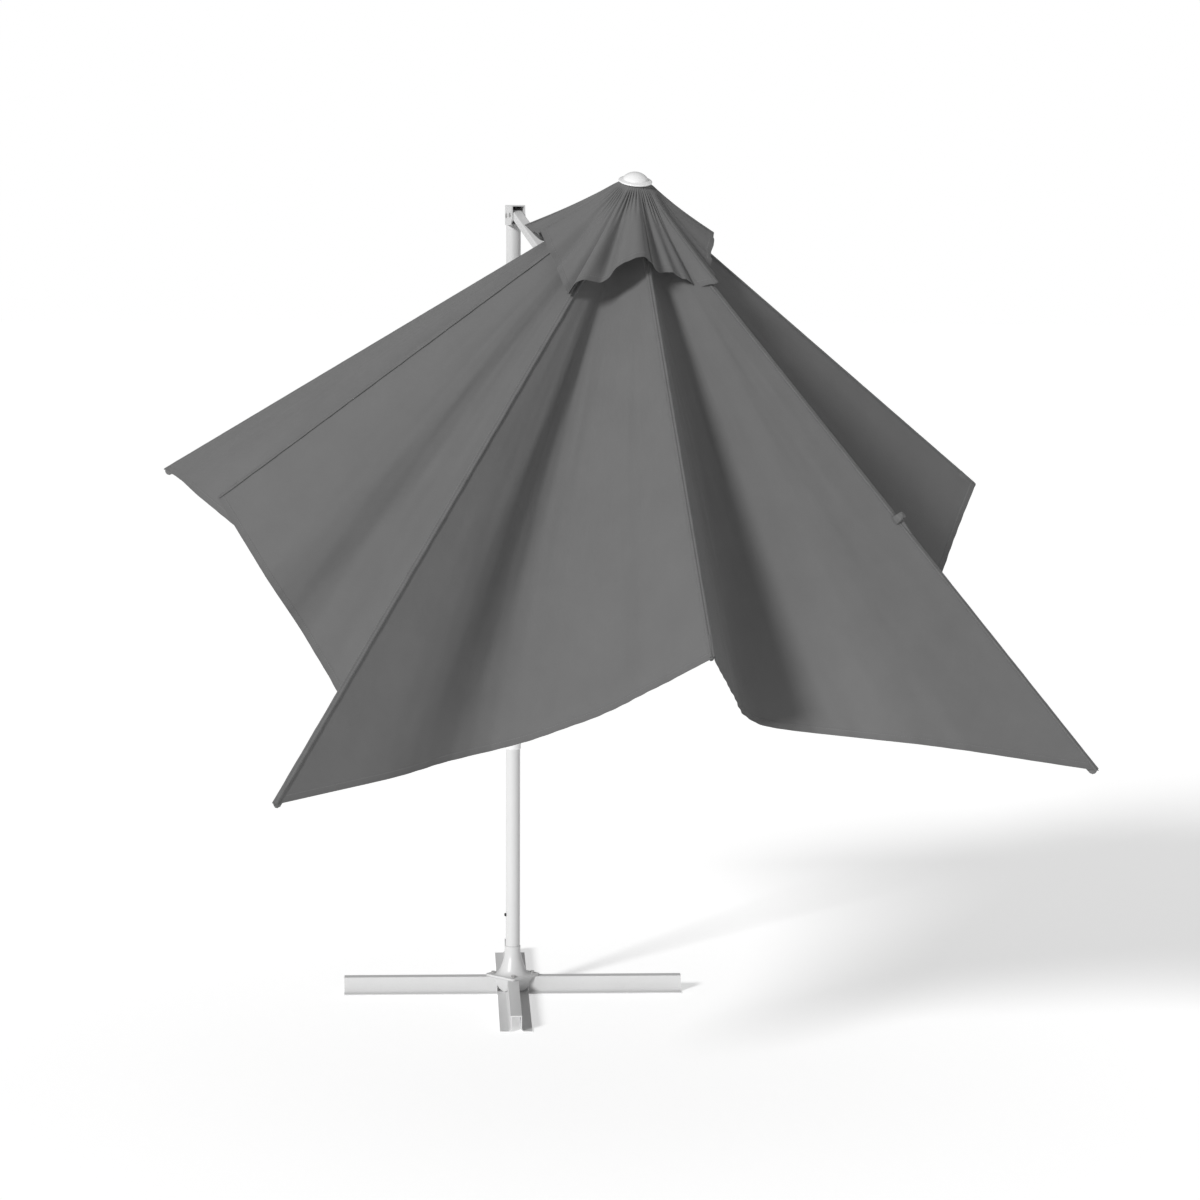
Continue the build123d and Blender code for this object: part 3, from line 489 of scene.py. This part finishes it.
def fold_with(piece, rib):
    """A main half follows its rib as the canopy folds.
    """
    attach(piece, "rib_" + RIBS[rib])
    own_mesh(piece)


def press_down(piece, rib):
    """A vent's piece follows a rib too, as the canopy folds."""
    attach(piece, "rib_" + RIBS[rib])
    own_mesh(piece)


# ---- main canopy --------------------------------------------------------------------------------
CANOPY_START = 0.19
MAIN_COLUMNS = 58
MAIN_ROWS = 70
# Rows of points near a hem, as distances from it, and the edge of the hem's fold between them.
HEM_ROWS = [0.030, 0.024, 0.019, 0.0165, 0.0155, 0.0145, 0.0135, 0.010, 0.005, 0.0015, 0.0]
HEM_FOLD = (0.0145, 0.0165)
HEM_RAISED = 0.0007
# Close columns of points next to a rib, between two angles from it.
RIB_COLUMNS = 14
FIRST_ANGLE, LAST_ANGLE = 0.0006, 0.03
# The cloth keeps the first distance from the core of a rib's tube, which lies between the other
# two below the cone.
RIB_CLEAR = 0.0062
RIB_TOP = 0.0072
RIB_BOTTOM = 0.0170

# Soft waves in the cloth: (rate across a tenth of a gore, rate per metre down, size) of each.
TENTHS = 10
FOLDS = [(1.1, 0.9, 0.0050), (2.3, 1.7, 0.0032), (4.1, -2.2, 0.0014)]
CREASES = [(6.0, 9.0, 0.0007), (9.5, -14.0, 0.0005)]
FOLD_SEED, CREASE_SEED = 3, 40
CROSS_RATE = 0.37
FOLDS_GROW = (0.15, 0.7)
HELD_AT_RIBS = 0.7
# Puckers along a main hem: size, rate across a gore and the distance that they fade over.
PUCKER, PUCKER_RATE, PUCKER_FADE = 0.0011, 150, 0.02


def half_angles(index, part):
    """Angles from a gore's first rib across one half, closer together next to the rib."""
    split = split_step(index) / (CURVE_STEPS - 1) * gore_angle
    width = split if part == 0 else gore_angle - split
    near = np.geomspace(FIRST_ANGLE, LAST_ANGLE, RIB_COLUMNS)
    away = np.concatenate([[0], near, np.linspace(LAST_ANGLE, width, MAIN_COLUMNS)[1:]])
    return away if part == 0 else gore_angle - away[::-1]


def follow_curve(index, angles):
    """Directions and outward normals of a gore's curve at angles from its first rib."""
    place = angles / gore_angle * (CURVE_STEPS - 1)
    steps = np.arange(CURVE_STEPS)
    curve, normal = (
        unit(np.stack([np.interp(place, steps, table[:, i]) for i in range(3)], axis=1))
        for table in curves[index]
    )
    return curve, normal


def cut_angle(index, angles):
    """Angle on the cut from the mid rib, which is the gore's first rib if index is even."""
    return angles if index % 2 == 0 else gore_angle - angles


def flat_place(reach, angle):
    """Place on the flat cut of a point at a distance and an angle from the mid rib."""
    return np.stack([reach * np.sin(angle), reach * np.cos(angle)], axis=-1)


def waves(u, v, seed, terms):
    """Sum of slanted waves with the rates and sizes in terms, and seeded phases."""
    phases = np.random.default_rng(seed).uniform(0, math.tau, (len(terms), 2))
    total = 0
    for (across, down, size), (p, q) in zip(terms, phases):
        slant = np.sin(u * across + v * down + p)
        total = total + size * slant * np.cos(u * across * CROSS_RATE + q)
    return total


def cloth_relief(index, reach, share, edge):
    """Small outward moves of the main cloth: soft folds that run down it, and hem puckers."""
    hold = np.sin(math.pi * share) ** HELD_AT_RIBS
    folds = waves(share * TENTHS, reach, index + FOLD_SEED, FOLDS)
    creases = waves(share * TENTHS, reach, index + CREASE_SEED, CREASES)
    puckers = PUCKER * np.sin(share * PUCKER_RATE + index) * np.exp(-edge / PUCKER_FADE)
    band = HEM_RAISED * (1 - smooth(edge, *HEM_FOLD))
    return hold * smooth(reach, *FOLDS_GROW) * (folds + creases) + hold * puckers + band


def drape(points, rib):
    """Moves points that would lie in a rib's tube out to just clear of it."""
    side, down = tangents[rib], -rises[rib]
    offset = points - apex
    across, below = offset @ side, offset @ down
    from_core = below - np.clip(below, RIB_TOP, RIB_BOTTOM)
    distance = np.hypot(across, from_core)
    push = np.maximum(RIB_CLEAR / np.maximum(distance, 1e-6), 1) - 1
    return points + (across * push)[..., None] * side + (from_core * push)[..., None] * down


def half_name(index, part):
    """The end of the name of a half gore."""
    return GORES[index] + ("_near" if part == 0 else "_far")


def main_half(index, part):
    """One half of a main gore, from the half-way plane to a rib."""
    rib = (index + part) % RIB_COUNT
    angles = half_angles(index, part)
    curve, normal = follow_curve(index, angles)
    angle = cut_angle(index, angles)
    hem = hem_reach(angle)
    share = angles / gore_angle
    downs = np.linspace(0, 1, MAIN_ROWS)[:-1]
    reach = CANOPY_START + (hem - HEM_ROWS[0] - CANOPY_START) * downs[:, None]
    reach = np.concatenate([reach] + [[hem - distance] for distance in HEM_ROWS])
    edge = (hem - reach) * np.sin(math.pi - mid_corner_angle - angle)
    relief = cloth_relief(index, reach, share, edge)
    points = drape(apex + reach[..., None] * curve + relief[..., None] * normal, rib)
    place = flat_place(reach, angle)
    hem_line = unit(flat_place(CORNER_RIB, gore_angle) - flat_place(MID_RIB, 0.0))
    attributes = {"edge": edge, "along": place @ hem_line}
    piece = grid_piece("canopy_" + half_name(index, part), points, canvas, attributes, place)
    thicken(piece, CLOTH)
    fold_with(piece, rib)
    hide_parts(f"canopy_{GORES[index]}")


for gore in range(RIB_COUNT):
    for part in (0, 1):
        main_half(gore, part)

# ---- vent canopy --------------------------------------------------------------------------------
VENT_COLUMNS = 49
VENT_ROWS = 40
# The vent's top edge: its radius, and its height above the apex, which dips under the arm at the
# back. The dip is full within the second angle of the arm and ends at the first, in degrees.
VENT_START = 0.036
VENT_TOP = 0.0135
VENT_BACK_TOP = -0.026
ARM_DIP = (42, 24)
# How far the vent sags between its top and its hem, and how its outward direction leans.
VENT_SAG = 0.004
VENT_LEAN = 0.8

# The vent hangs a little askew: each hem corner's distance down its rib, and its height above it.
# The arm passes over the back.
VENT_ENDS = {
    "front": (0.265, 0.040),
    "front_right": (0.335, 0.022),
    "right": (0.280, 0.058),
    "back_right": (0.345, 0.050),
    "back": (0.265, 0.004),
    "back_left": (0.400, 0.080),
    "left": (0.300, 0.075),
    "front_left": (0.370, 0.022),
}

# Waves of the vent's hem: (share across the gore, outward move).
VENT_WAVES = {
    "front_left_inner": [
        (0.155, 0.036), (0.36, 0.004), (0.49, 0.004), (0.60, 0.038), (0.72, 0.052), (0.88, 0.040),
    ],
    "front_right_inner": [
        (0.13, -0.026), (0.38, -0.016), (0.62, -0.026), (0.80, -0.032), (0.92, -0.014),
    ],
    "front_left_outer": [(0.28, 0.006), (0.50, -0.010), (0.80, 0.012)],
    "front_right_outer": [(0.25, -0.014), (0.50, -0.020), (0.80, -0.006)],
    "back_left_outer": [(0.30, -0.012), (0.62, -0.018)],
    "back_right_outer": [(0.35, -0.016), (0.70, -0.006)],
    "back_left_inner": [(0.40, -0.006), (0.66, -0.030), (0.88, -0.048)],
    "back_right_inner": [(0.30, -0.016), (0.55, -0.006)],
}
HEM_WAVE_STEPS = 400

# Pleats, folds and hem ripples of the vent: size and rate across a gore. The pleats fade in and
# out, and the folds fade in, over these shares of the way down.
PLEAT, PLEAT_RATE = 0.0030, 44
PLEAT_IN, PLEAT_OUT = (0, 0.1), (0.05, 0.55)
VENT_FOLD, VENT_FOLD_RATE = 0.0038, 21
VENT_FOLD_IN = (0.1, 0.9)
RIPPLE, RIPPLE_RATE, RIPPLE_FADE = 0.0010, 57, 0.015
VENT_HELD_AT_RIBS = 0.5
VENT_HEM_RAISED = 0.0006


def vent_ends(index):
    """A vent gore's two hem corners."""
    ends = []
    for rib in (index, (index + 1) % RIB_COUNT):
        length, lift = VENT_ENDS[RIBS[rib]]
        ends.append(apex + rays[rib] * length + up * lift)
    return ends


def vent_top(radial):
    """The vent's top edge under the cap's brim, in directions round the pole."""
    toward_arm = (radial @ radials[RIBS.index("back")])[:, None]
    dip = smooth(toward_arm, *(math.cos(math.radians(angle)) for angle in ARM_DIP))
    return apex + radial * VENT_START + up * (VENT_TOP + (VENT_BACK_TOP - VENT_TOP) * dip)


def vent_hem(index, share, outward):
    """The vent's wavy hem at shares of the way across a gore."""
    near_end, far_end = vent_ends(index)
    chord = near_end + (far_end - near_end) * share[:, None]
    knots = np.array([(0.0, 0.0)] + VENT_WAVES[GORES[index]] + [(1.0, 0.0)])
    line = spline(np.column_stack([knots, np.zeros(len(knots))]), HEM_WAVE_STEPS)
    return chord + outward * np.interp(share, line[:, 0], line[:, 1])[:, None]


def vent_relief(index, share, fall, edge):
    """Small outward moves of the vent's cloth, at shares of the way across and down."""
    hold = np.sin(math.pi * share) ** VENT_HELD_AT_RIBS
    pleats = PLEAT * np.sin(share * PLEAT_RATE + index)
    pleats = pleats * (1 - smooth(fall, *PLEAT_OUT)) * smooth(fall, *PLEAT_IN)
    folds = VENT_FOLD * np.sin(share * VENT_FOLD_RATE + 2 * index + 1)
    folds = folds * smooth(fall, *VENT_FOLD_IN)
    ripples = RIPPLE * np.sin(share * RIPPLE_RATE + 2 * index) * np.exp(-edge / RIPPLE_FADE)
    band = VENT_HEM_RAISED * (1 - smooth(edge, *HEM_FOLD))
    return hold * (pleats + folds + ripples) + band - VENT_SAG * np.sin(math.pi * fall)


def vent_half(index, part):
    """One half of a vent gore, from under the cap's brim to a wavy hem clear of the main cloth."""
    rib = (index + part) % RIB_COUNT
    share = np.linspace(0, 0.5, VENT_COLUMNS) + 0.5 * part
    turn = (share * math.tau / RIB_COUNT)[:, None]
    radial = radials[index] * np.cos(turn) + tangents[index] * np.sin(turn)
    outward = unit(up + radial * VENT_LEAN)
    top = vent_top(radial)
    hem = vent_hem(index, share, outward)
    span = np.linalg.norm(hem - top, axis=1)
    downs = np.linspace(0, 1, VENT_ROWS)[:-1, None] * (1 - HEM_ROWS[0] / span)
    fall = np.concatenate([downs] + [[1 - distance / span] for distance in HEM_ROWS])
    edge = (1 - fall) * span
    relief = vent_relief(index, share, fall, edge)
    points = top + (hem - top) * fall[..., None] + relief[..., None] * outward
    first_length, second_length = (VENT_ENDS[RIBS[i % RIB_COUNT]][0] for i in (index, index + 1))
    length = first_length + (second_length - first_length) * share
    angle = share * gore_angle
    attributes = {"edge": edge, "along": np.broadcast_to(angle * length, fall.shape)}
    place = flat_place(fall * length, angle)
    piece = grid_piece("vent_" + half_name(index, part), points, canvas, attributes, place)
    thicken(piece, CLOTH)
    if part == 0:
        press_down(piece, rib)
    else:
        press_down(piece, rib)
    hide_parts(f"vent_{GORES[index]}")


for gore in range(RIB_COUNT):
    for part in (0, 1):
        vent_half(gore, part)

# ---- seams along the ribs, rib pockets and the tie on the front right rib -----------------------
# Sections of strips, as (sideways, up) pairs. First two stitched welts with a groove between them,
# over the edges of both gores.
WELTS = [
    (-0.0072, -0.0030), (-0.0070, -0.0008), (-0.0052, 0.0012), (-0.0030, 0.0016),
    (-0.0012, 0.0008), (0.0, -0.0002), (0.0012, 0.0008), (0.0030, 0.0016),
    (0.0052, 0.0012), (0.0070, -0.0008), (0.0072, -0.0030), (0.0, -0.0016),
]
# Then the sleeve over a rib's tube, just under the cloth.
SLEEVE = [
    (-0.0054, -0.0205), (-0.0054, -0.0050), (-0.0040, -0.0028), (0.0, -0.0018),
    (0.0040, -0.0028), (0.0054, -0.0050), (0.0054, -0.0205), (0.0048, -0.0205),
    (0.0048, -0.0052), (0.0036, -0.0036), (0.0, -0.0030), (-0.0036, -0.0036),
    (-0.0048, -0.0052), (-0.0048, -0.0205),
]
SEAM_ROWS, SLEEVE_ROWS, VENT_SEAM_ROWS = 90, 30, 40
# Distances of a seam's and a sleeve's ends from the cloth's start and the rib's end.
SEAM_START, SEAM_END, SLEEVE_END = 0.005, 0.004, 0.008
SEAM_SWELL = 0.04
# A seam's small uneven swelling: two rates per metre, and the second's share.
SWELL_RATES, SECOND_SWELL = (61, 143), 0.6
# The vent's seam: its size beside the main one, its lift, where its top is beside the vent's top
# edge, and the shares of the way down that it runs between.
VENT_SEAM_SIZE, VENT_SEAM_LIFT = 0.7, 0.0006
VENT_SEAM_OUT, VENT_SEAM_BELOW = 0.002, 0.004
VENT_SEAM_FALL = (0.02, 0.992)


def strip(rib, name, start, end, shape, count, swell):
    """Closed strip along a rib from start to end. shape is its section."""
    side, rise = tangents[rib], rises[rib]
    share = np.linspace(0, 1, count)[:, None]
    along = share * np.linalg.norm(end - start)
    first, second = (np.sin(along * rate + (i + 1) * rib) for i, rate in enumerate(SWELL_RATES))
    ripple = 1 + swell * (first + SECOND_SWELL * second)
    section = np.array([x * side + y * rise for x, y in shape])
    points = (start + (end - start) * share)[:, None] + ripple[..., None] * section
    attributes = {"along": np.broadcast_to(along, points.shape[:2])}
    piece = grid_piece(name, points, binding, attributes, wrap=True)
    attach(piece, "rib_" + RIBS[rib])


def vent_seam(rib):
    """Seam of the vent over a rib, with the same sag as the vent's cloth."""
    side, radial = tangents[rib], radials[rib]
    outward = unit(up + radial * VENT_LEAN)
    top = apex + radial * (VENT_START + VENT_SEAM_OUT) + up * (VENT_TOP - VENT_SEAM_BELOW)
    tip = vent_ends(rib)[0]
    fall = np.linspace(*VENT_SEAM_FALL, VENT_SEAM_ROWS)[:, None]
    line = top + (tip - top) * fall - VENT_SAG * np.sin(math.pi * fall) * outward
    section = np.array(
        [
            x * VENT_SEAM_SIZE * side + (y * VENT_SEAM_SIZE + VENT_SEAM_LIFT) * outward
            for x, y in WELTS
        ]
    )
    points = line[:, None] + section
    along = np.broadcast_to(fall * np.linalg.norm(tip - top), points.shape[:2])
    piece = grid_piece(f"vent_seam_{RIBS[rib]}", points, binding, {"along": along}, wrap=True)
    press_down(piece, rib)


def rib_cloth(rib):
    """Seam, sleeve and vent seam of one rib. The arm takes the place of the back vent seam."""
    name, ray, length = RIBS[rib], rays[rib], lengths[rib]
    start = apex + ray * (CANOPY_START + SEAM_START)
    strip(rib, f"seam_{name}", start, apex + ray * (length - SEAM_END), WELTS,
          SEAM_ROWS, SEAM_SWELL)
    strip(rib, f"sleeve_{name}", start, apex + ray * (length - SLEEVE_END), SLEEVE,
          SLEEVE_ROWS, 0.0)
    if name != "back":
        vent_seam(rib)


# Rings of a pocket: (distance from the rib's end, size beside the pocket's own) of each.
POCKET_RINGS = [
    (0.062, 0.96), (0.060, 1.06), (0.045, 1.03), (0.025, 0.98), (0.008, 0.86), (0.002, 0.55),
    (0.0, 0.12),
]
POCKET_SIDES = 24
POCKET_HALF_WIDTH = 0.0085
POCKET_HALF_HEIGHT = 0.0130
POCKET_BELOW = 0.0115
POCKET_CLOTH = 0.0012
POCKET_STEP = 0.0035


def pocket(rib):
    """Sewn pocket that the rib's end sits in, closed at the tip and open towards the crown."""
    turns = np.arange(POCKET_SIDES)[:, None] / POCKET_SIDES * math.tau
    rows = []
    for distance, size in POCKET_RINGS:
        across = POCKET_HALF_WIDTH * size * np.cos(turns)
        above = POCKET_HALF_HEIGHT * size * np.sin(turns) - POCKET_BELOW
        centre = apex + rays[rib] * (lengths[rib] - distance)
        rows.append(centre + across * tangents[rib] + above * rises[rib])
    points = np.array(rows)
    along = np.broadcast_to(np.arange(POCKET_SIDES) * POCKET_STEP, points.shape[:2])
    piece = grid_piece(f"pocket_{RIBS[rib]}", points, binding, {"along": along}, wrap=True)
    thicken(piece, POCKET_CLOTH)
    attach(piece, "rib_" + RIBS[rib])


TIE_REACH = 1.06
# The tie's loop of strap: rings along it and points round each, the half turns that it bends
# between, its reach sideways and up, its place beside the seam, half its width and its thickness.
LOOP_RINGS, LOOP_SIDES = 34, 20
LOOP_BEND = (-0.15, 1.15)
LOOP_SIDEWAYS, LOOP_HEIGHT, LOOP_OFFSET = 0.013, 0.016, 0.002
LOOP_HALF_WIDTH, LOOP_NARROWING, LOOP_THICKNESS = 0.0105, 0.25, 0.0034
LOOP_PUCKER, LOOP_PUCKERS, LOOP_PUCKER_SLANT = 0.18, 3, 5
LOOP_LENGTH = 0.05
# Its tail: rings and points, where it starts along the rib, its length, and its section.
TAIL_RINGS, TAIL_SIDES = 26, 18
TAIL_START, TAIL_LENGTH = -0.006, 0.058
TAIL_HALF_WIDTH, TAIL_NARROWING = 0.0085, 0.75
TAIL_HEIGHT, TAIL_TAPER, TAIL_THICKNESS = 0.0085, 1.5, 0.0022
TAIL_OFFSET, TAIL_LIFT = 0.003, 0.001


def tie_piece(name, rows, length):
    """A piece of the tie from its rings of points."""
    points = np.array(rows)
    along = np.linspace(0, length, len(rows))[:, None]
    attributes = {"along": np.broadcast_to(along, points.shape[:2])}
    return grid_piece(name, points, binding, attributes, wrap=True)


def tie():
    """Gathered strap end that is knotted round the front right rib, over a slit in the seam."""
    rib = RIBS.index("front_right")
    ray, side, rise = rays[rib], tangents[rib], rises[rib]
    centre = apex + ray * TIE_REACH
    # Loop of strap that stands on the seam and bends over towards the back.
    around = np.linspace(0, math.tau, LOOP_SIDES, endpoint=False)[:, None]
    rows = []
    for turn in np.linspace(*LOOP_BEND, LOOP_RINGS) * math.pi:
        spot = (
            centre
            + side * (LOOP_SIDEWAYS * math.cos(turn) + LOOP_OFFSET)
            + rise * (LOOP_HEIGHT * math.sin(turn))
        )
        out = side * math.cos(turn) + rise * math.sin(turn)
        width = LOOP_HALF_WIDTH * (1 - LOOP_NARROWING * math.sin(turn) ** 2)
        pucker = 1 + LOOP_PUCKER * np.sin(LOOP_PUCKERS * around + LOOP_PUCKER_SLANT * turn)
        depth = LOOP_THICKNESS * pucker * np.sin(around)
        rows.append(spot + ray * width * np.cos(around) + out * depth)
    loop = tie_piece("tie_loop", rows, LOOP_LENGTH)
    # Flat pleat of the same strap that lies down the seam below the loop.
    around = np.linspace(0, math.tau, TAIL_SIDES, endpoint=False)[:, None]
    rows = []
    for share in np.linspace(0, 1, TAIL_RINGS):
        spot = centre + ray * (TAIL_START + TAIL_LENGTH * share)
        half = TAIL_HALF_WIDTH * (1 - TAIL_NARROWING * share)
        top = TAIL_HEIGHT * (1 - share) ** TAIL_TAPER + TAIL_THICKNESS
        across = TAIL_OFFSET + half * np.cos(around)
        rows.append(spot + side * across + rise * (TAIL_LIFT + top * np.sin(around)))
    tail = tie_piece("tie_tail", rows, TAIL_LENGTH)
    for piece in (loop, tail):
        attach(piece, "rib_front_right")


for rib_index in range(RIB_COUNT):
    rib_cloth(rib_index)
    pocket(rib_index)
tie()

# ---- floor and light ----------------------------------------------------------------------------
FLOOR_RADIUS = 60.0
FLOOR_DROP = 0.0005
FLOOR_SIDES = 96
FLOOR_GLOW = 0.42
# Light from the white surroundings on the object; the camera sees them at full strength.
AMBIENT = 0.33
SUN_DIRECTION = Vector((0.74, 0.62, -0.46))
SUN_STRENGTH = 2.5
SUN_WIDTH = math.radians(10)


def floor():
    """Large pale disc just under the base, lit a little from within like a light table."""
    n = Nodes("studio_floor")
    tone = n.noise(n.place(), scale=0.8, detail=3.0)
    n.set(Base_Color=n.mix(tone, grey(0.90), grey(0.92)), Roughness=0.9, Specular_IOR_Level=0.1)
    n.set(Emission_Color=(1, 1, 1, 1), Emission_Strength=FLOOR_GLOW)
    ring = [
        (FLOOR_RADIUS * math.cos(a), FLOOR_RADIUS * math.sin(a), -FLOOR_DROP)
        for a in np.linspace(0, math.tau, FLOOR_SIDES, endpoint=False)
    ]
    mesh = bpy.data.meshes.new("floor")
    mesh.from_pydata(ring, [], [tuple(range(len(ring)))])
    mesh.materials.append(n.material)
    piece = bpy.data.objects.new("floor", mesh)
    bpy.context.scene.collection.objects.link(piece)


def studio():
    """White surroundings and one broad key light from the upper left front."""
    world = bpy.data.worlds.new("studio")
    bpy.context.scene.world = world
    world.use_nodes = True
    tree = world.node_tree
    background = tree.nodes["Background"]
    background.inputs[0].default_value = (1, 1, 1, 1)
    paths = tree.nodes.new("ShaderNodeLightPath")
    strength = tree.nodes.new("ShaderNodeMapRange")
    strength.inputs["To Min"].default_value = AMBIENT
    strength.inputs["To Max"].default_value = 1.0
    tree.links.new(paths.outputs["Is Camera Ray"], strength.inputs["Value"])
    tree.links.new(strength.outputs[0], background.inputs[1])
    sun = bpy.data.lights.new("key", "SUN")
    sun.energy = SUN_STRENGTH
    sun.angle = SUN_WIDTH
    key = bpy.data.objects.new("key", sun)
    key.rotation_euler = SUN_DIRECTION.to_track_quat("-Z", "Y").to_euler()
    bpy.context.scene.collection.objects.link(key)


floor()
studio()
bpy.context.scene.view_settings.view_transform = "Standard"
